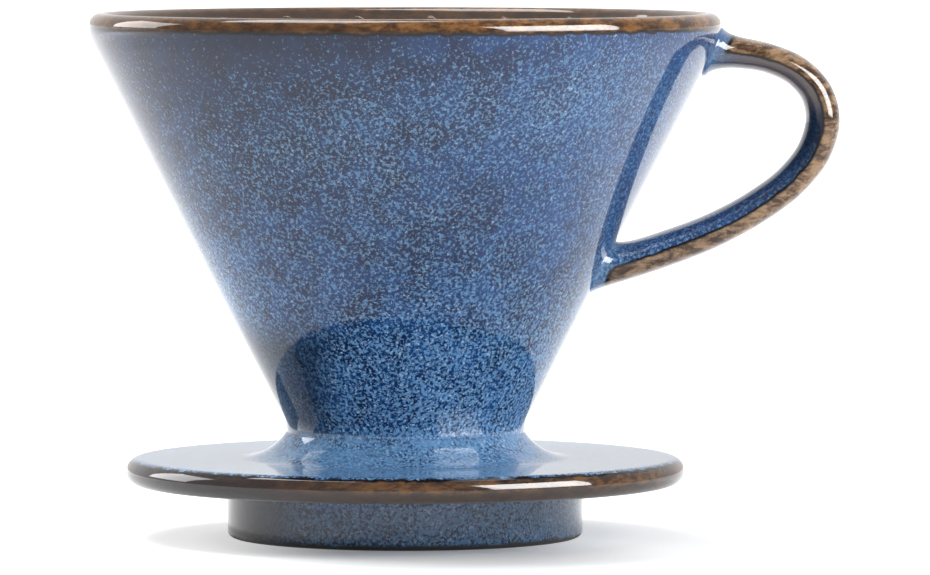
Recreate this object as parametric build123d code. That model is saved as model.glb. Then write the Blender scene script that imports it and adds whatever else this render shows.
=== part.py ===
from build123d import *
from math import asin, atan2, cos, hypot, radians, sin, tan
import os

# Ceramic pour over dripper, in millimetres.
# Origin: centre of the foot ring, on the surface it stands on. +Z is up and the handle points along +X.

# Overall
overall_height = 83.0
rim_radius = 50.0

# Cone: a steep outer wall, a 60 degree inside for a paper filter, and a rounded lip
lip_radius = 1.8
rim_curve_radius = 8.5
neck_radius = 18.8
neck_height = 5.65
filter_half_angle = 30.0
outlet_radius = 9.5

# Saucer and foot ring
saucer_radius = 44.3
saucer_thickness = 4.1
foot_height = 8.5
foot_radius = 28.2
foot_wall = 4.0
foot_edge_round = 1.2

# Shallow seat that the foot ring is luted into: depth, and clearance round the ring
seat_depth = 0.5
seat_clearance = 1.2

# Slip cove between the neck and the saucer
cove_size = 4.2
cove_fullness = 0.34

# Spiral ribs inside the cone
rib_pairs = 12
rib_radius = 1.1
rib_rise = 1.2
rib_turn = 78.0
rib_start_angle = 10.0
rib_top_gap = 1.3
rib_outlet_gap = 2.0
short_rib_share = 0.45

# Handle: an ear-shaped strap. Each station is reach from the rim edge, drop from the rim top,
# thickness in the plane of the ear and width across it.
strap_stations = [
    (-4.2, 6.0, 5.8, 12.4),
    (2.4, 6.3, 5.0, 11.4),
    (7.8, 7.3, 4.7, 10.8),
    (12.2, 9.4, 4.9, 10.6),
    (15.1, 12.7, 5.2, 10.6),
    (16.1, 17.0, 5.5, 10.6),
    (14.8, 21.8, 5.4, 10.6),
    (11.3, 26.4, 5.3, 10.8),
    (5.8, 30.6, 5.3, 11.2),
    (-1.2, 34.4, 5.4, 11.8),
    (-9.2, 37.5, 5.7, 12.6),
    (-17.3, 40.1, 6.0, 13.4),
    (-24.5, 42.0, 6.0, 14.0),
]
strap_sections = 20

# Slip collars where the strap meets the cone: stand-out at the wall and at the far end,
# and the share of the strap's length at which each starts inside the wall and ends on the strap
collar_flare = 1.5
collar_end = 0.3
upper_collar_span = (0.01, 0.075)
lower_collar_span = (0.975, 0.865)

# Worked out from the sizes above
saucer_top = foot_height + saucer_thickness
seat_z = foot_height + seat_depth
seat_radius = foot_radius + seat_clearance
crease_z = saucer_top + neck_height
lip_z = overall_height - lip_radius
lip_centre_r = rim_radius - lip_radius
curve_centre_r = rim_radius - rim_curve_radius
rise_angle = atan2(curve_centre_r - neck_radius, lip_z - crease_z)
wall_angle = rise_angle + asin(rim_curve_radius / hypot(curve_centre_r - neck_radius, lip_z - crease_z))
curve_start_r = curve_centre_r + rim_curve_radius * cos(wall_angle)
curve_start_z = lip_z - rim_curve_radius * sin(wall_angle)
filter_angle = radians(filter_half_angle)
inner_top_r = lip_centre_r - lip_radius * cos(filter_angle)
inner_top_z = lip_z + lip_radius * sin(filter_angle)
outlet_top_z = inner_top_z - (inner_top_r - outlet_radius) / tan(filter_angle)


def revolved(lines):
    """A closed outline of radius and height, turned about the vertical axis."""
    return revolve(Plane.XZ * make_face(lines), Axis.Z)


def outer_wall():
    """Lines of the outside, from the foot of the neck to the top of the lip."""
    middle = radians(45)
    mid_wall = wall_angle / 2
    return [
        Line((neck_radius, saucer_top), (neck_radius, crease_z)),
        Line((neck_radius, crease_z), (curve_start_r, curve_start_z)),
        ThreePointArc(
            (curve_start_r, curve_start_z),
            (curve_centre_r + rim_curve_radius * cos(mid_wall), lip_z - rim_curve_radius * sin(mid_wall)),
            (rim_radius, lip_z),
        ),
        ThreePointArc(
            (rim_radius, lip_z),
            (lip_centre_r + lip_radius * cos(middle), lip_z + lip_radius * sin(middle)),
            (lip_centre_r, overall_height),
        ),
    ]


def inner_wall():
    """Lines of the inside, from the top of the lip down to the top of the outlet."""
    middle = (radians(90) + filter_angle) / 2
    return [
        ThreePointArc(
            (lip_centre_r, overall_height),
            (lip_centre_r - lip_radius * cos(middle), lip_z + lip_radius * sin(middle)),
            (inner_top_r, inner_top_z),
        ),
        Line((inner_top_r, inner_top_z), (outlet_radius, outlet_top_z)),
    ]


def make_cone():
    """Funnel with its neck, bored through for the outlet."""
    bore = [
        Line((outlet_radius, outlet_top_z), (outlet_radius, saucer_top)),
        Line((outlet_radius, saucer_top), (neck_radius, saucer_top)),
    ]
    return revolved(outer_wall() + inner_wall() + bore)


def cone_envelope():
    """The cone as a solid plug, for trimming what butts against its outside."""
    closing = [
        Line((lip_centre_r, overall_height), (0, overall_height)),
        Line((0, overall_height), (0, saucer_top)),
        Line((0, saucer_top), (neck_radius, saucer_top)),
    ]
    return revolved(outer_wall() + closing)


def cone_cavity():
    """The space inside the cone, for trimming the ribs to its wall."""
    closing = [
        Line((outlet_radius, outlet_top_z), (0, outlet_top_z)),
        Line((0, outlet_top_z), (0, overall_height)),
        Line((0, overall_height), (lip_centre_r, overall_height)),
    ]
    return revolved(inner_wall() + closing)


def make_saucer():
    """Flat disc with a fully rounded edge and a shallow seat underneath for the foot ring."""
    edge_round = saucer_thickness / 2
    flat_end = saucer_radius - edge_round
    return revolved([
        Line((outlet_radius, seat_z), (seat_radius, seat_z)),
        Line((seat_radius, seat_z), (seat_radius, foot_height)),
        Line((seat_radius, foot_height), (flat_end, foot_height)),
        ThreePointArc((flat_end, foot_height), (saucer_radius, foot_height + edge_round), (flat_end, saucer_top)),
        Line((flat_end, saucer_top), (outlet_radius, saucer_top)),
        Line((outlet_radius, saucer_top), (outlet_radius, seat_z)),
    ])


def make_foot_ring():
    """Straight ring that stands on the table and drops into a mug's mouth."""
    ring = Cylinder(foot_radius, seat_z) - Cylinder(foot_radius - foot_wall, seat_z)
    ring = Pos(0, 0, seat_z / 2) * ring
    return fillet(ring.edges().group_by(Axis.Z)[0], foot_edge_round)


def make_neck_joint():
    """Cove of slip in the corner between the neck and the saucer."""
    outer = neck_radius + cove_size
    top = saucer_top + cove_size
    belly = cove_size * cove_fullness
    return revolved([
        Line((neck_radius, saucer_top), (outer, saucer_top)),
        ThreePointArc((outer, saucer_top), (neck_radius + belly, saucer_top + belly), (neck_radius, top)),
        Line((neck_radius, top), (neck_radius, saucer_top)),
    ])


def rib_path(bottom_z, top_z):
    """Line just inside the wall that turns evenly as it climbs."""
    offset = rib_rise - rib_radius
    full_height = top_z_of_ribs() - outlet_top_z
    start_r = wall_radius(bottom_z) - offset * cos(filter_angle)
    pitch = full_height * 360 / rib_turn / cos(filter_angle)
    path = Helix(pitch, top_z - bottom_z, start_r, cone_angle=filter_half_angle)
    turn = rib_turn * (bottom_z - outlet_top_z) / full_height
    return Pos(0, 0, bottom_z + offset * sin(filter_angle)) * Rot(0, 0, turn) * path


def wall_radius(z):
    """Radius of the inside wall at a height."""
    return inner_top_r - (inner_top_z - z) * tan(filter_angle)


def top_z_of_ribs():
    """Height of the middle of each rib's rounded upper end."""
    return overall_height - rib_top_gap - rib_radius


def make_rib(bottom_z):
    """One rib: a round bead along its path with round ends, trimmed to the wall."""
    path = rib_path(bottom_z, top_z_of_ribs())
    bead = sweep(Plane(path @ 0, z_dir=path % 0) * Circle(rib_radius), path=path, is_frenet=True)
    for end in (0, 1):
        bead += Pos(path @ end) * Sphere(rib_radius)
    return bead & cone_cavity()


def strap_points():
    """Stations of the handle's middle line, from the upper joint round to the lower one."""
    return [Vector(rim_radius + reach, 0, overall_height - drop) for reach, drop, _, _ in strap_stations]


def oval(line, share, stand_out):
    """Oval section across the strap at a share of its length, with its width along Y."""
    shares = [line.param_at_point(point) for point in strap_points()]
    after = max(1, next(index for index, value in enumerate(shares) if value >= share - 1e-6))
    mix = (share - shares[after - 1]) / (shares[after] - shares[after - 1])
    before_size, after_size = strap_stations[after - 1][2:], strap_stations[after][2:]
    thickness, width = [a + (b - a) * mix + 2 * stand_out for a, b in zip(before_size, after_size)]
    return Plane(line @ share, x_dir=(0, 1, 0), z_dir=line % share) * Ellipse(width / 2, thickness / 2)


def raw_handle(line):
    """The strap before its ends are trimmed to the cone."""
    return loft([oval(line, index / (strap_sections - 1), 0) for index in range(strap_sections)])


def make_collar(line, span):
    """Flared slip collar round the strap, before the strap and the cone are taken out of it."""
    wall_share, strap_share = span
    middle_share = (wall_share + strap_share) / 2
    return loft([
        oval(line, wall_share, collar_flare),
        oval(line, middle_share, (collar_flare + 3 * collar_end) / 4),
        oval(line, strap_share, collar_end),
    ])


def write(name, shape):
    os.makedirs("parts", exist_ok=True)
    export_step(shape, f"parts/{name}.step")
    print(name, round(shape.volume, 2))


envelope = cone_envelope()
write("cone", make_cone())
write("saucer", make_saucer())
write("foot_ring", make_foot_ring())
write("neck_joint", make_neck_joint())

strap_line = Spline(strap_points())
strap = raw_handle(strap_line)
write("handle", strap - envelope)
write("upper_handle_joint", make_collar(strap_line, upper_collar_span) - strap - envelope)
write("lower_handle_joint", make_collar(strap_line, lower_collar_span) - strap - envelope)

long_rib = make_rib(outlet_top_z + rib_outlet_gap)
short_rib = make_rib(top_z_of_ribs() - (top_z_of_ribs() - outlet_top_z) * short_rib_share)
step = 360 / (2 * rib_pairs)
for number in range(rib_pairs):
    turn = rib_start_angle - rib_turn + 2 * step * number
    write(f"long_rib_{number + 1:02d}", Rot(0, 0, turn) * long_rib)
    write(f"short_rib_{number + 1:02d}", Rot(0, 0, turn + step) * short_rib)
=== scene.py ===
import bpy
import numpy as np
from math import pi, radians, sin, cos, tan, atan2, asin, hypot
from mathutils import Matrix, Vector


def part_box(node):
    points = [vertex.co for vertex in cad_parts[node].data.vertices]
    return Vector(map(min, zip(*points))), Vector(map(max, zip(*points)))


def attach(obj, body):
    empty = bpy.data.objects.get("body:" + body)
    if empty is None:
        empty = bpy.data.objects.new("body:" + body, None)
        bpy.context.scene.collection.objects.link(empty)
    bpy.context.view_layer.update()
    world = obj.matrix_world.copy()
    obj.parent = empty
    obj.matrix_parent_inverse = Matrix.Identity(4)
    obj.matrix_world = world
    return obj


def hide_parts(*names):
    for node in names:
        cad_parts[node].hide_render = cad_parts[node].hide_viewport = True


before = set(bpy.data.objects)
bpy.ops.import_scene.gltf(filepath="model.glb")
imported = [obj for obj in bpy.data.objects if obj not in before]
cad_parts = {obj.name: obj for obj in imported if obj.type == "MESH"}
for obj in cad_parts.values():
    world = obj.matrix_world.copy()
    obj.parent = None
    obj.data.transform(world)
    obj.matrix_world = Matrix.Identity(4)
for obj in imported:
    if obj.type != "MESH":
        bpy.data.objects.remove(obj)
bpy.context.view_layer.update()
print("frame loaded with", len(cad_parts), "nodes")

# driving sizes, read from the frame (metres)
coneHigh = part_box("cone")[1]
saucerLow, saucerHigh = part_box("saucer")
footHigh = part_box("foot_ring")[1]
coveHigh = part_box("neck_joint")[1]
rimRadius = coneHigh.x
rimTop = coneHigh.z
saucerTop = saucerHigh.z
saucerRadius = saucerHigh.x
footRadius = footHigh.x
coveSize = coveHigh.z - saucerTop
neckRadius = coveHigh.x - coveSize

# the rest of the turned outline, in the frame's own proportions (metres)
outline = {
    "lip": 0.0018,
    "rimCurve": 0.0085,
    "neckHeight": 0.00565,
    "neckRound": 0.006,
    "coveCurve": 0.0090,
    "filterAngle": radians(30),
    "outlet": 0.0095,
    "footWall": 0.004,
    "footRound": 0.0012,
    "turns": 360,
    "wobble": 0.00009,
}
lipZ = rimTop - outline["lip"]
lipR = rimRadius - outline["lip"]
curveR = rimRadius - outline["rimCurve"]
creaseZ = saucerTop + outline["neckHeight"]
wallAngle = atan2(curveR - neckRadius, lipZ - creaseZ) + asin(
    outline["rimCurve"] / hypot(curveR - neckRadius, lipZ - creaseZ))
filterAngle = outline["filterAngle"]
innerTopR = lipR - outline["lip"] * cos(filterAngle)
innerTopZ = lipZ + outline["lip"] * sin(filterAngle)
outletTopZ = innerTopZ - (innerTopR - outline["outlet"]) / tan(filterAngle)


# shapes: outlines, grids and how a piece joins the frame
def straight(start, end, count):
    # evenly spaced points from start up to, but not including, end
    t = np.arange(count)[:, None] / count
    return np.array(start) + t * (np.array(end) - np.array(start))


def arc(centre, radius, fromAngle, toAngle, count):
    # points on a circle: centre plus radius times cosine and sine of an evenly stepped angle
    a = fromAngle + (toAngle - fromAngle) * np.arange(count) / count
    return np.stack([centre[0] + radius * np.cos(a), centre[1] + radius * np.sin(a)], 1)


def gridMesh(name, points, wrapU, wrapV, capEnds=False):
    # a grid of points (rows U, columns V) joined into quads, wrapping round in either direction
    rows, columns = points.shape[:2]
    i = np.arange(rows if wrapU else rows - 1)[:, None]
    j = np.arange(columns if wrapV else columns - 1)[None, :]
    iNext, jNext = (i + 1) % rows, (j + 1) % columns
    quads = np.stack(np.broadcast_arrays(
        i * columns + j, i * columns + jNext, iNext * columns + jNext, iNext * columns + j), -1)
    faces = quads.reshape(-1, 4).tolist()
    if capEnds:
        faces.append(np.arange(columns)[::-1].tolist())
        faces.append(((rows - 1) * columns + np.arange(columns)).tolist())
    mesh = bpy.data.meshes.new(name)
    mesh.from_pydata(points.reshape(-1, 3).tolist(), [], faces)
    mesh.polygons.foreach_set("use_smooth", np.ones(len(mesh.polygons), bool))
    mesh.update()
    piece = bpy.data.objects.new(name, mesh)
    bpy.context.scene.collection.objects.link(piece)
    return piece


def turned(name, profile, wobble=0.0):
    # a closed outline of radius and height turned round Z; the radius swells a few hundredths of a
    # millimetre in slow waves, as hand finishing leaves it
    a = 2 * pi * np.arange(outline["turns"]) / outline["turns"]
    r, z = profile[:, 0][:, None], profile[:, 1][:, None]
    wave = (np.sin(2 * a + 1.1 + 30 * z) + 0.7 * np.sin(3 * a + 2.3 - 70 * z)
            + 0.4 * np.sin(5 * a + 110 * z))
    r = r + wobble * wave
    points = np.stack([r * np.cos(a), r * np.sin(a), z + 0 * a], -1)
    return gridMesh(name, points, True, True)


def fit(piece, *nodes, slot="glaze_blue", material=None):
    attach(piece, "root")
    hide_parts(*nodes)
    piece.data.materials.append(material)
    return piece


# materials
def paint(red, green, blue):
    # screen colour, 0 to 255, as the linear colour that a shader takes
    c = np.array([red, green, blue]) / 255
    c = np.where(c <= 0.04045, c / 12.92, ((c + 0.055) / 1.055) ** 2.4)
    return (*c.tolist(), 1.0)


class Tree:
    # a short way to add nodes: inputs are values, or outputs of nodes made before
    def __init__(self, name):
        self.material = bpy.data.materials.new(name)
        self.material.use_nodes = True
        self.nodes = self.material.node_tree.nodes
        self.links = self.material.node_tree.links
        self.nodes.clear()

    def add(self, kind, inputs=None, output=0, **settings):
        node = self.nodes.new("ShaderNode" + kind)
        for key, value in settings.items():
            setattr(node, key, value)
        for key, value in (inputs or {}).items():
            socket = node.inputs[key]
            if isinstance(value, bpy.types.NodeSocket):
                self.links.new(value, socket)
            else:
                socket.default_value = value
        return node.outputs[output] if len(node.outputs) else None

    def maths(self, operation, a, b):
        return self.add("Math", {0: a, 1: b}, operation=operation)

    def times(self, a, b):
        return self.maths("MULTIPLY", a, b)

    def plus(self, a, b):
        return self.maths("ADD", a, b)

    def less(self, a, b):
        return self.maths("SUBTRACT", a, b)

    def step(self, value, low, high, smooth=True):
        # 0 before low and 1 past high, with low above high for a fall
        kind = "SMOOTHSTEP" if smooth else "LINEAR"
        return self.add("MapRange", {"Value": value, "From Min": low, "From Max": high},
                        interpolation_type=kind)

    def band(self, value, edge, depths, smooth=True):
        # a step between two depths below an edge
        return self.step(value, edge - depths[0], edge - depths[1], smooth)

    def noise(self, place, scale, detail=2.0, roughness=0.5, distortion=0.0):
        return self.add("TexNoise", {"Vector": place, "Scale": scale, "Detail": detail,
                                     "Roughness": roughness, "Distortion": distortion})

    def mix(self, factor, a, b):
        return self.add("Mix", {0: factor, 6: a, 7: b}, output=2, data_type="RGBA")


glaze = {
    # colours of the glass, its flecks, the places where it runs thin, and its painted shade, sheen and dark
    # reflection
    "navy": paint(4, 26, 68),
    "blue": paint(22, 64, 118),
    "fleck": paint(116, 168, 214),
    "sparkle": paint(208, 230, 246),
    "pool": paint(112, 158, 202),
    "night": paint(14, 26, 44),
    "greyed": paint(46, 50, 62),
    "sheenLavender": paint(92, 116, 166),
    "amber": paint(146, 102, 60),
    "umber": paint(72, 50, 36),
    "greyBrown": paint(84, 74, 68),
    "slate": paint(52, 52, 56),
    "sand": paint(168, 136, 104),
    "stone": paint(120, 106, 102),
    "darkLine": paint(22, 18, 20),
    "bare": paint(40, 38, 40),
    # noise scales, per metre
    "fleckScale": 1900.0,
    "sparkleScale": 2600.0,
    "driftScale": 30.0,
    "cloudScale": 190.0,
    "drawnScale": 260.0,
    "raggedScale": 420.0,
    "streakScale": 330.0,
    "bumpScale": 330.0,
    # noise levels where one colour gives way to the other
    "fleckLevel": (0.46, 0.62),
    "sparkleLevel": (0.60, 0.72),
    "cloudLevel": (0.35, 0.68),
    "drawnLevel": (0.36, 0.62),
    "streakLevel": (0.38, 0.64),
    "lineLevel": (0.02, 0.30),
    "brownLevel": (0.40, 0.95),
    # how far the fleck threshold moves
    "fewerHighAway": 0.10,
    "moreWhenRich": -0.04,
    "fewerByDrift": 0.20,
    "fewerAtTop": 0.05,
    "sparklesFollow": 0.6,
    # how much of a colour is mixed in
    "greyedShare": 0.72,
    "sheenShare": 0.35,
    "fleckShare": 0.56,
    "richShare": 0.28,
    "sparkleLess": 0.15,
    "darkReflectionShare": 0.8,
    "footShadeShare": 0.4,
    "coveShare": 0.12,
    "coveStreakShare": 0.50,
    "insideShare": 0.85,
    "innerShare": 0.9,
    "stoneShare": 0.7,
    "pooledShare": 0.35,
    "rimShadeShare": 0.6,
    "greyerShare": 0.8,
    "slateShare": 0.35,
    "slateShadeShare": 0.5,
    # depths below the rim or the saucer's top, and in from their edges, where thin glaze starts and is full
    "rimDepth": (0.0027, 0.0017),
    "innerRimDepth": (0.0022, 0.0034),
    "edgeDrop": (0.0001, 0.0009),
    "edgeDepth": (0.0024, 0.0018),
    "greyerDrop": (0.0018, 0.0028),
    "coveReach": (0.0085, 0.0035),
    "ribProud": (0.0004, 0.0011),
    # heights and sideways places (metres) over which each change of tone runs
    "highUp": (0.035, 0.082),
    "awayFromHandle": (0.032, -0.028),
    "lowDown": (0.052, 0.018),
    "sparseTop": (0.072, 0.081),
    "sheenSide": (0.0, 0.042),
    "sheenHeight": (0.03, 0.06),
    "darkReflectionSide": (-0.0085, -0.0155),
    "darkReflectionHeight": (0.038, 0.030),
    "footShadeSide": (-0.010, -0.026),
    "rimShadeSide": (0.002, -0.020),
    "edgeShadeSide": (-0.008, -0.030),
    "insideHeight": (0.066, 0.079),
    "rimHeight": (0.06, 0.07),
    "innerHeight": (0.046, 0.064),
    "topRun": (0.0665, 0.0705),
    "wipedHeight": (0.0011, 0.0005),
    "raggedDepth": 0.0011,
    # the shader
    "roughness": 0.06,
    "bareRoughness": 0.6,
    "bumpStrength": 0.10,
    "bumpDepth": 0.0001,
    "ior": 1.45,
}


def fleckedBlue(t, place, x, z):
    # dark glass crowded with pale flecks: a fleck shows where fine noise passes a threshold, and the
    # threshold is higher (fewer flecks) high up and away from the handle, and lower near the saucer
    drift = t.noise(place, glaze["driftScale"], 2, 0.5)
    cloud = t.noise(place, glaze["cloudScale"], 3, 0.6)
    leaning = t.add("Mapping", {"Vector": place, "Rotation": (0.5, 0.4, 0.6), "Scale": (1.0, 1.15, 1.0)})
    grain = t.noise(leaning, glaze["fleckScale"], 2.5, 0.62, 0.35)
    fine = t.noise(leaning, glaze["sparkleScale"], 1.5, 0.5, 0.2)

    sparseAndShaded = t.times(t.step(z, *glaze["highUp"]), t.step(x, *glaze["awayFromHandle"]))
    rich = t.step(z, *glaze["lowDown"])
    threshold = t.plus(t.times(sparseAndShaded, glaze["fewerHighAway"]), t.times(rich, glaze["moreWhenRich"]))
    threshold = t.less(threshold, t.times(t.less(drift, 0.5), glaze["fewerByDrift"]))
    threshold = t.plus(threshold, t.times(t.step(z, *glaze["sparseTop"]), glaze["fewerAtTop"]))
    flecks = t.step(t.less(grain, threshold), *glaze["fleckLevel"])
    sparkles = t.step(t.less(fine, t.times(threshold, glaze["sparklesFollow"])), *glaze["sparkleLevel"])

    base = t.mix(t.step(cloud, *glaze["cloudLevel"]), glaze["navy"], glaze["blue"])
    # painted shade: high up and away from the handle the blue is mixed towards grey
    base = t.mix(t.times(sparseAndShaded, glaze["greyedShare"]), base, glaze["greyed"])
    # painted sheen: towards the handle and higher up, the blue is mixed towards lavender
    sheenToHandle = t.times(t.step(x, *glaze["sheenSide"]), t.step(z, *glaze["sheenHeight"]))
    base = t.mix(t.times(sheenToHandle, glaze["sheenShare"]), base, glaze["sheenLavender"])
    strong = t.plus(glaze["fleckShare"], t.times(rich, glaze["richShare"]))
    colour = t.mix(t.times(flecks, strong), base, glaze["fleck"])
    return t.mix(t.times(sparkles, t.less(strong, glaze["sparkleLess"])), colour, glaze["sparkle"])


def pooledBlue(t, colour, place, x, z, radius):
    # a painted dark reflection: almost black low down, away from the handle
    darkReflection = t.times(t.step(x, *glaze["darkReflectionSide"]), t.step(z, *glaze["darkReflectionHeight"]))
    darkReflection = t.times(darkReflection, t.step(z, saucerTop + 0.002, saucerTop + 0.005))
    colour = t.mix(t.times(darkReflection, glaze["darkReflectionShare"]), colour, glaze["night"])
    # painted shade: the foot under the saucer is deeper and greyer, and slate grey towards the side away from
    # the handle
    under = t.step(z, saucerLow.z + 0.0006, saucerLow.z)
    colour = t.mix(t.times(under, glaze["footShadeShare"]), colour, glaze["greyed"])
    colour = t.mix(t.times(under, t.step(x, *glaze["footShadeSide"])), colour, glaze["slate"])
    # paler, streaked glaze pools in the cove over the saucer
    coveTop = saucerTop + coveSize
    coveFrom, coveFull = glaze["coveReach"]
    cove = t.times(t.step(z, coveTop + 0.0012, coveTop - 0.0004),
                   t.step(radius, neckRadius + coveFrom, neckRadius + coveFull))
    cove = t.times(cove, t.step(z, saucerTop - 0.0006, saucerTop - 0.0001))
    drawn = t.noise(t.add("Mapping", {"Vector": place, "Scale": (1, 1, 3.0)}), glaze["drawnScale"], 3, 0.6)
    drawn = t.times(t.step(drawn, *glaze["drawnLevel"]), glaze["coveStreakShare"])
    drawn = t.plus(glaze["coveShare"], drawn)
    return t.mix(t.times(cove, drawn), colour, glaze["pool"])


def insideShade(t, colour, z, radius, ragged):
    # inside the cone the tops of the ribs run thin, and the wall turns grey brown below the rim; proud
    # is how far a point stands off the inside wall
    wallR = t.less(innerTopR, t.times(t.less(innerTopZ, z), tan(filterAngle)))
    proud = t.times(t.less(wallR, radius), cos(filterAngle))
    ribTop = t.step(t.plus(proud, ragged), *glaze["ribProud"], False)
    within = t.step(radius, rimRadius - 0.0022, rimRadius - 0.003)
    shade = t.times(t.times(within, t.step(proud, -0.001, -0.0003)), t.step(z, *glaze["insideHeight"]))
    return ribTop, t.mix(t.times(shade, glaze["insideShare"]), colour, glaze["greyBrown"])


def handleShade(t, colour, z, ragged):
    # the strap's outer half runs thin, except where the glaze pools by the cone; its inner side is
    # night dark, with a stone grey upper run
    outward = t.add("Attribute", output=2, attribute_name="outward")
    pooled = t.add("Attribute", output=2, attribute_name="pooled")
    outside = t.step(t.plus(outward, t.times(ragged, 240.0)), -0.16, 0.14, False)
    outside = t.times(outside, t.less(1.0, t.step(pooled, 0.25, 0.6)))
    inner = t.times(t.step(z, *glaze["innerHeight"]), t.less(1.0, pooled))
    colour = t.mix(t.times(inner, glaze["innerShare"]), colour, glaze["night"])
    run = t.times(t.step(z, *glaze["topRun"]), t.less(1.0, pooled))
    colour = t.mix(t.times(run, glaze["stoneShare"]), colour, glaze["stone"])
    return outside, t.mix(t.times(pooled, glaze["pooledShare"]), colour, glaze["pool"])


def reactiveGlaze(name, handle=False, inside=False):
    # navy glass crowded with pale flecks, thinning to amber and umber wherever an edge is sharp
    t = Tree(name)
    place = t.add("TexCoord", output=3)
    axes = t.add("SeparateXYZ", {0: place})
    x, z = axes, axes.node.outputs[2]
    flat = t.add("VectorMath", {0: place, 1: (1, 1, 0)}, operation="MULTIPLY")
    radius = t.add("VectorMath", {0: flat}, output=1, operation="LENGTH")
    colour = fleckedBlue(t, place, x, z)
    colour = pooledBlue(t, colour, place, x, z, radius)

    # where the glaze runs thin: rim, saucer edge, rib tops and the outside of the handle
    ragged = t.times(t.less(t.noise(place, glaze["raggedScale"], 3, 0.6), 0.5), glaze["raggedDepth"])
    uneven = t.plus(z, ragged)
    rim = t.band(uneven, rimTop, glaze["rimDepth"], False)
    rolled = t.band(uneven, saucerTop, glaze["edgeDrop"], False)
    edge = t.times(rolled, t.band(radius, saucerRadius, glaze["edgeDepth"]))
    thin = t.maths("MAXIMUM", rim, edge)
    # the thin glaze is greyer under the saucer's edge and on the inner half of the rim
    greyer = t.times(t.band(z, saucerTop, glaze["greyerDrop"]), t.band(z, saucerLow.z, (0.001, 0)))
    innerRim = t.times(t.band(radius, rimRadius, glaze["innerRimDepth"]), t.step(z, *glaze["rimHeight"]))
    greyer = t.maths("MAXIMUM", greyer, innerRim)
    if inside:
        more, colour = insideShade(t, colour, z, radius, ragged)
        thin = t.maths("MAXIMUM", thin, more)
    if handle:
        more, colour = handleShade(t, colour, z, ragged)
        thin = t.maths("MAXIMUM", thin, more)

    # the brown is streaked, and painted shade makes it darker on the side away from the handle
    drawnOut = t.add("Mapping", {"Vector": place, "Scale": (1, 1, 2.4)})
    streak = t.noise(drawnOut, glaze["streakScale"], 4, 0.7, 0.3)
    brown = t.mix(t.step(streak, *glaze["streakLevel"]), glaze["umber"], glaze["sand" if handle else "amber"])
    brown = t.mix(t.times(t.step(x, *glaze["rimShadeSide"]), glaze["rimShadeShare"]), brown, glaze["umber"])
    brown = t.mix(t.times(greyer, glaze["greyerShare"]), brown, glaze["greyBrown"])
    # the saucer's edge is slate grey, and more so as painted shade on the side away from the handle
    slated = t.times(t.step(x, *glaze["edgeShadeSide"]), glaze["slateShadeShare"])
    slated = t.plus(glaze["slateShare"], slated)
    brown = t.mix(t.times(edge, slated), brown, glaze["slate"])
    # a dark line parts the blue from the brown
    colour = t.mix(t.step(thin, *glaze["lineLevel"]), colour, glaze["darkLine"])
    colour = t.mix(t.step(thin, *glaze["brownLevel"]), colour, brown)

    # bare clay line where the foot was wiped before firing
    wiped = t.step(uneven, *glaze["wipedHeight"])
    colour = t.mix(wiped, colour, glaze["bare"])
    rough = t.add("MapRange", {"Value": wiped, "To Min": glaze["roughness"],
                               "To Max": glaze["bareRoughness"]})
    ripple = t.noise(place, glaze["bumpScale"], 2, 0.5)
    bump = t.add("Bump", {"Strength": glaze["bumpStrength"], "Distance": glaze["bumpDepth"],
                          "Height": ripple})
    shader = t.add("BsdfPrincipled", {"Base Color": colour, "Roughness": rough, "IOR": glaze["ior"],
                                      "Normal": bump})
    t.add("OutputMaterial", {"Surface": shader})
    return t.material


bodyGlaze = reactiveGlaze("reactiveBlueGlaze")
insideGlaze = reactiveGlaze("insideGlaze", inside=True)
handleGlaze = reactiveGlaze("handleGlaze", handle=True)
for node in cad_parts.values():
    node.data.materials.clear()
    node.data.materials.append(bodyGlaze)
print("glazes mixed")


# the turned pieces: cone, saucer with its cove, and foot ring
def coneOutline():
    lip, curve = outline["lip"], outline["rimCurve"]
    # the wall bends into the upright neck on a soft radius centred on their meeting height
    bend, bendZ = outline["neckRound"], creaseZ
    bendHalf = bend * tan(wallAngle / 2)
    bendTop = (neckRadius + bend * (1 - cos(wallAngle)), bendZ - bendHalf + bend * sin(wallAngle))
    wallEnd = (curveR + curve * cos(wallAngle), lipZ - curve * sin(wallAngle))
    outlet = outline["outlet"]
    return np.vstack([
        straight((outlet, saucerTop), (neckRadius, saucerTop), 6),
        straight((neckRadius, saucerTop), (neckRadius, bendZ - bendHalf), 8),
        arc((neckRadius + bend, bendZ - bendHalf), bend, pi, pi - wallAngle, 14),
        straight(bendTop, wallEnd, 70),
        arc((curveR, lipZ), curve, -wallAngle, 0, 16),
        arc((lipR, lipZ), lip, 0, pi - filterAngle, 20),
        straight((innerTopR, innerTopZ), (outlet, outletTopZ), 50),
        straight((outlet, outletTopZ), (outlet, saucerTop), 8),
    ])


def saucerOutline():
    edge = (saucerTop - saucerLow.z) / 2
    flatEnd = saucerRadius - edge
    # the cove is tangent to the saucer and meets the neck at a slight crease
    cove = outline["coveCurve"]
    sweep = np.arccos(1 - coveSize / cove)
    coveOut = neckRadius + cove * sin(sweep)
    outlet = outline["outlet"]
    return np.vstack([
        straight((outlet, saucerLow.z), (flatEnd, saucerLow.z), 24),
        arc((flatEnd, saucerLow.z + edge), edge, -pi / 2, pi / 2, 24),
        straight((flatEnd, saucerTop), (coveOut, saucerTop), 16),
        arc((coveOut, saucerTop + cove), cove, -pi / 2, -pi / 2 - sweep, 20),
        straight((neckRadius, saucerTop + coveSize), (neckRadius - 0.002, saucerTop + coveSize), 2),
        straight((neckRadius - 0.002, saucerTop + coveSize), (neckRadius - 0.002, saucerTop), 3),
        straight((neckRadius - 0.002, saucerTop), (outlet, saucerTop), 6),
        straight((outlet, saucerTop), (outlet, saucerLow.z), 6),
    ])


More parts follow.
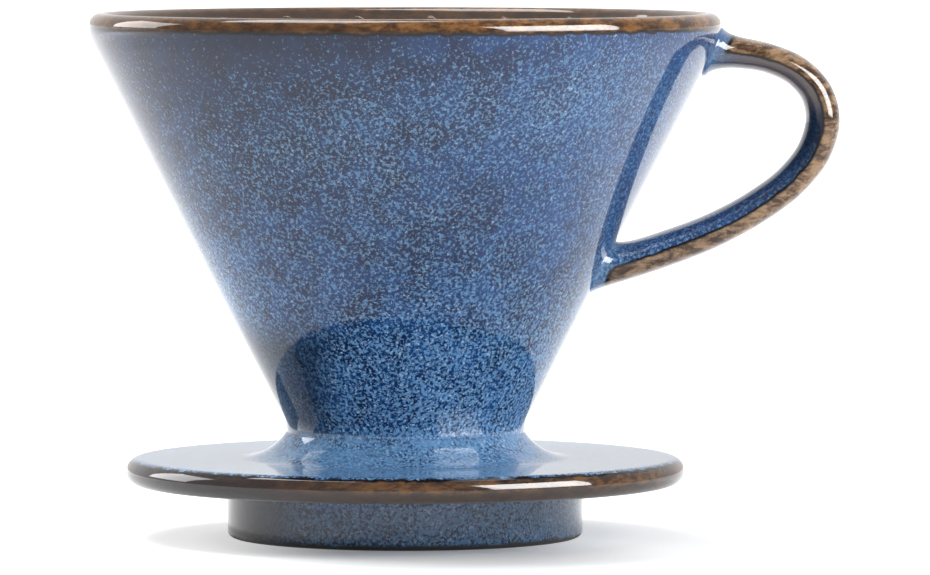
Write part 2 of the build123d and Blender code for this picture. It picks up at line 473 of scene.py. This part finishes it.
def footOutline():
    inner = footRadius - outline["footWall"]
    roundR, top = outline["footRound"], footHigh.z
    return np.vstack([
        arc((footRadius - roundR, roundR), roundR, -pi / 2, 0, 12),
        straight((footRadius, roundR), (footRadius, top), 14),
        straight((footRadius, top), (inner, top), 4),
        straight((inner, top), (inner, roundR), 14),
        arc((inner + roundR, roundR), roundR, pi, 3 * pi / 2, 12),
        straight((inner + roundR, 0), (footRadius - roundR, 0), 4),
    ])


fit(turned("coneShell", coneOutline(), outline["wobble"]), "cone", material=insideGlaze)
fit(turned("saucerDisc", saucerOutline(), outline["wobble"] * 0.5), "saucer", "neck_joint",
    material=bodyGlaze)
fit(turned("footRing", footOutline()), "foot_ring", material=bodyGlaze)
print("turned pieces made")

# the spiral ribs inside the cone
rib = {
    "pairs": 12,
    "rise": 0.0012,
    "halfWidth": 0.0016,
    "sunk": 0.0003,
    "rooted": 0.0009,
    "turn": radians(78),
    "firstAngle": radians(10),
    "topGap": 0.0013,
    "outletGap": 0.002,
    "shortShare": 0.45,
    "taper": 0.0022,
    "rows": 110,
    "columns": 13,
}


def makeRib(name, bottomZ, topAngle, node):
    # a low rounded ridge on the inside wall: along it the angle turns evenly with height, across it
    # the rise is a raised cosine, and both ends fade out
    topZ = rimTop - rib["topGap"]
    u = np.linspace(0, 1, rib["rows"])[:, None]
    v = np.linspace(-1, 1, rib["columns"])[None, :]
    z = bottomZ + (topZ - bottomZ) * u
    fullHeight = topZ - outletTopZ
    angle = topAngle - rib["turn"] * (topZ - z) / fullHeight
    wallR = innerTopR - (innerTopZ - z) * tan(filterAngle)
    run = np.minimum(u, 1 - u) * (topZ - bottomZ)
    fade = np.sqrt(np.clip(1 - (1 - np.clip(run / rib["taper"], 0, 1)) ** 2, 0, 1))
    rise = -rib["sunk"] + (rib["rise"] + rib["sunk"]) * fade * (0.5 + 0.5 * np.cos(pi * v))
    angle = angle + v * rib["halfWidth"] * (0.35 + 0.65 * fade) / wallR
    r = wallR - rise * cos(filterAngle)
    zTop = z + rise * sin(filterAngle)
    top = np.stack([r * np.cos(angle), r * np.sin(angle), zTop + 0 * v], -1)
    root = wallR + rib["rooted"]
    under = np.stack([root * np.cos(angle), root * np.sin(angle), z + 0 * v], -1)
    ring = np.concatenate([top, under[:, ::-1]], 1)[:, ::-1]
    piece = gridMesh(name, ring, False, True, capEnds=True)
    return fit(piece, node, slot="glaze_inside", material=insideGlaze)


ribStep = 2 * pi / (2 * rib["pairs"])
ribSpan = rimTop - rib["topGap"] - outletTopZ
for number in range(rib["pairs"]):
    turn = rib["firstAngle"] + 2 * ribStep * number
    longBottom = outletTopZ + rib["outletGap"]
    shortBottom = rimTop - rib["topGap"] - ribSpan * rib["shortShare"]
    makeRib(f"longRib{number + 1:02d}", longBottom, turn, f"long_rib_{number + 1:02d}")
    makeRib(f"shortRib{number + 1:02d}", shortBottom, turn + ribStep, f"short_rib_{number + 1:02d}")
print("ribs made")

# the ear handle
handle = {
    # reach from the rim edge, drop from the rim top, thickness in the ear's plane, width across it
    "stations": [
        (-4.2, 6.0, 5.8, 12.4), (2.4, 6.3, 5.0, 11.4), (7.8, 7.3, 4.7, 10.8), (12.2, 9.4, 4.9, 10.6),
        (15.1, 12.7, 5.2, 10.6), (16.1, 17.0, 5.5, 10.6), (14.8, 21.8, 5.4, 10.6), (11.3, 26.4, 5.3, 10.8),
        (5.8, 30.6, 5.3, 11.2), (-1.2, 34.4, 5.4, 11.8), (-9.2, 37.5, 5.6, 12.6), (-17.3, 40.1, 5.6, 13.4),
        (-24.5, 42.0, 5.4, 14.0),
    ],
    "rows": 260,
    "columns": 72,
    "squareness": 2.5,
    "flare": 0.0012,
    "flareReach": 0.0011,
    "underFlare": 0.35,
    "lowStart": 0.060,
    "lowFade": 0.010,
    "poolReach": 0.0022,
}


def smoothThrough(stations, count):
    # a Catmull-Rom curve through the stations, spaced by the length between them
    p = np.array(stations, float)
    gaps = np.linalg.norm(np.diff(p[:, :2], axis=0), axis=1)
    s = np.concatenate([[0], np.cumsum(gaps)])
    slope = np.gradient(p, s, axis=0)
    at = np.linspace(0, s[-1], count)
    k = np.clip(np.searchsorted(s, at) - 1, 0, len(gaps) - 1)
    h = gaps[k][:, None]
    t = ((at - s[k]) / gaps[k])[:, None]
    return ((2 * t ** 3 - 3 * t ** 2 + 1) * p[k] + (t ** 3 - 2 * t ** 2 + t) * h * slope[k]
            + (3 * t ** 2 - 2 * t ** 3) * p[k + 1] + (t ** 3 - t ** 2) * h * slope[k + 1])


def wallDistance(points):
    # how far a point stands off the cone's straight outer wall
    r = np.hypot(points[..., 0], points[..., 1])
    return (r - neckRadius) * cos(wallAngle) - (points[..., 2] - creaseZ) * sin(wallAngle)


def makeHandle():
    # a rounded strap section carried along the ear's middle line; close to the cone the section
    # swells by a falling exponential of its distance from the wall, which leaves a soft slip fillet
    line = smoothThrough(handle["stations"], handle["rows"]) / 1000
    x, z = rimRadius + line[:, 0], rimTop - line[:, 1]
    along = np.stack([np.gradient(x), np.gradient(z)], 1)
    along /= np.linalg.norm(along, axis=1)[:, None]
    outX, outZ = -along[:, 1], along[:, 0]
    outX, outZ = outX[:, None], outZ[:, None]
    a = 2 * pi * np.arange(handle["columns"])[None, :] / handle["columns"]
    power = 2 / handle["squareness"]
    across = np.sign(np.cos(a)) * np.abs(np.cos(a)) ** power
    out = np.sign(np.sin(a)) * np.abs(np.sin(a)) ** power
    halfT, halfW = line[:, 2][:, None] / 2, line[:, 3][:, None] / 2

    def section(extra):
        px = x[:, None] + outX * out * (halfT + extra)
        pz = z[:, None] + outZ * out * (halfT + extra)
        py = across * (halfW + extra)
        return np.stack([px, py, pz], -1)

    plain = section(0)
    off = np.clip(wallDistance(plain), 0, None)
    # the side facing away from the finger gap swells less where the strap comes in low
    low = np.clip((handle["lowStart"] - z) / handle["lowFade"], 0, 1)[:, None]
    share = 1 - (1 - handle["underFlare"]) * low * np.clip(0.5 + out, 0, 1)
    points = section(handle["flare"] * share * np.exp(-off / handle["flareReach"]))
    piece = gridMesh("earHandle", points, False, True, capEnds=True)
    outward = piece.data.attributes.new("outward", "FLOAT", "POINT")
    outward.data.foreach_set("value", np.broadcast_to(out, points.shape[:2]).ravel())
    pooled = piece.data.attributes.new("pooled", "FLOAT", "POINT")
    pooled.data.foreach_set("value", np.exp(-off / handle["poolReach"]).ravel())
    return fit(piece, "handle", "upper_handle_joint", "lower_handle_joint", slot="glaze_handle",
               material=handleGlaze)


makeHandle()
print("handle made")

# floor, room, lamps and camera
studio = {
    "floorSize": 40.0,
    "floorColour": (0.82, 0.82, 0.82, 1),
    "floorGlow": (0.10, 0.50),
    "shadowMiddle": (0.004, -0.038, 0.0),
    "shadowReach": (0.012, 0.042),
    "farGlow": 0.6,
    "farReach": (0.1, 1.2),
    "roomDim": (0.3, 1.0),
    "roomReach": (0.0, 0.8),
    "clipEnd": 20,
    "sensor": 36,
    "world": 0.5,
    "lens": 311.0,
    "camera": (0.0, -1.271, 0.1085),
    "target": (0.0095, 0.0, 0.0395),
}


def makeFloor():
    half = studio["floorSize"] / 2
    floor = gridMesh("studioFloor", np.array([[[-half, -half, 0], [half, -half, 0]],
                                              [[-half, half, 0], [half, half, 0]]], float), False, False)
    t = Tree("studioFloor")
    ray = t.add("LightPath")
    seen = t.maths("MAXIMUM", ray, t.maths("MAXIMUM", ray.node.outputs["Is Glossy Ray"],
                                           ray.node.outputs["Is Transmission Ray"]))
    # the glow rises away from the contact shadow, and again far behind the object
    place = t.add("TexCoord", output=3)
    off = t.add("VectorMath", {0: place, 1: studio["shadowMiddle"]}, output=1, operation="DISTANCE")
    near, far = studio["shadowReach"]
    low, high = studio["floorGlow"]
    rise = t.maths("ADD", low, t.maths("MULTIPLY", t.step(off, near, far), high - low))
    behind = t.step(t.add("SeparateXYZ", {0: place}, output=1), *studio["farReach"])
    strength = t.maths("ADD", rise, t.maths("MULTIPLY", behind, studio["farGlow"]))
    matt = t.add("BsdfDiffuse", {"Color": studio["floorColour"]})
    glow = t.add("Emission", {"Color": (1, 1, 1, 1), "Strength": strength})
    both = t.add("AddShader", {0: matt, 1: glow})
    t.add("OutputMaterial", {"Surface": t.add("MixShader", {0: seen, 1: matt, 2: both})})
    floor.data.materials.append(t.material)


def makeWorld():
    world = bpy.data.worlds.new("studioWorld")
    bpy.context.scene.world = world
    world.use_nodes = True
    nodes, links = world.node_tree.nodes, world.node_tree.links
    nodes.clear()
    ray = nodes.new("ShaderNodeLightPath")
    soft = nodes.new("ShaderNodeBackground")
    soft.inputs[1].default_value = studio["world"]
    white = nodes.new("ShaderNodeBackground")
    for light in (soft, white):
        light.inputs[0].default_value = (1, 1, 1, 1)
    most = nodes.new("ShaderNodeMath")
    most.operation = "MAXIMUM"
    more = nodes.new("ShaderNodeMath")
    more.operation = "MAXIMUM"
    links.new(ray.outputs["Is Camera Ray"], more.inputs[0])
    links.new(ray.outputs["Is Glossy Ray"], more.inputs[1])
    links.new(more.outputs[0], most.inputs[0])
    links.new(ray.outputs["Is Transmission Ray"], most.inputs[1])
    # the room behind the camera is dimmer than the white sweep behind the object
    place = nodes.new("ShaderNodeTexCoord")
    axes = nodes.new("ShaderNodeSeparateXYZ")
    links.new(place.outputs["Generated"], axes.inputs[0])
    dim = nodes.new("ShaderNodeMapRange")
    dim.inputs["From Min"].default_value, dim.inputs["From Max"].default_value = studio["roomReach"]
    dim.inputs["To Min"].default_value, dim.inputs["To Max"].default_value = studio["roomDim"]
    links.new(axes.outputs[1], dim.inputs[0])
    links.new(dim.outputs[0], white.inputs[1])
    blend = nodes.new("ShaderNodeMixShader")
    links.new(most.outputs[0], blend.inputs[0])
    links.new(soft.outputs[0], blend.inputs[1])
    links.new(white.outputs[0], blend.inputs[2])
    output = nodes.new("ShaderNodeOutputWorld")
    links.new(blend.outputs[0], output.inputs[0])


def aim(thing, place, target):
    thing.location = place
    thing.rotation_euler = (Vector(target) - Vector(place)).to_track_quat("-Z", "Y").to_euler()


def makeLamp(name, place, target, width, height, power):
    lamp = bpy.data.lights.new(name, "AREA")
    lamp.shape = "RECTANGLE"
    lamp.size, lamp.size_y, lamp.energy = width, height, power
    thing = bpy.data.objects.new(name, lamp)
    bpy.context.scene.collection.objects.link(thing)
    aim(thing, place, target)
    return thing


# each lamp's name, place, what it faces, width, height and power
lamps = [
    ("leftSoftbox", (-0.78, 0.36, 0.36), (0, 0, 0.04), 0.5, 0.5, 5.0),
    ("rightSoftbox", (0.68, -0.45, 0.42), (0, 0, 0.04), 0.6, 0.5, 4.0),
    ("topSoftbox", (-0.25, 0.25, 1.1), (0, 0, 0), 0.6, 0.6, 9.0),
]
makeFloor()
makeWorld()
for settings in lamps:
    makeLamp(*settings)
# a tall card at the right that only shows in the glaze, never as light on it
rimCard = ("rimCard", (0.66, -0.41, 0.36), (0, 0, 0.06), 0.72, 0.58, 24.0)
card = makeLamp(*rimCard)
card.visible_diffuse = False
camera = bpy.data.objects.new("camera", bpy.data.cameras.new("camera"))
bpy.context.scene.collection.objects.link(camera)
camera.data.lens = studio["lens"]
camera.data.sensor_width = studio["sensor"]
camera.data.clip_end = studio["clipEnd"]
aim(camera, studio["camera"], studio["target"])
bpy.context.scene.camera = camera
bpy.context.scene.view_settings.view_transform = "Standard"
print("studio set")
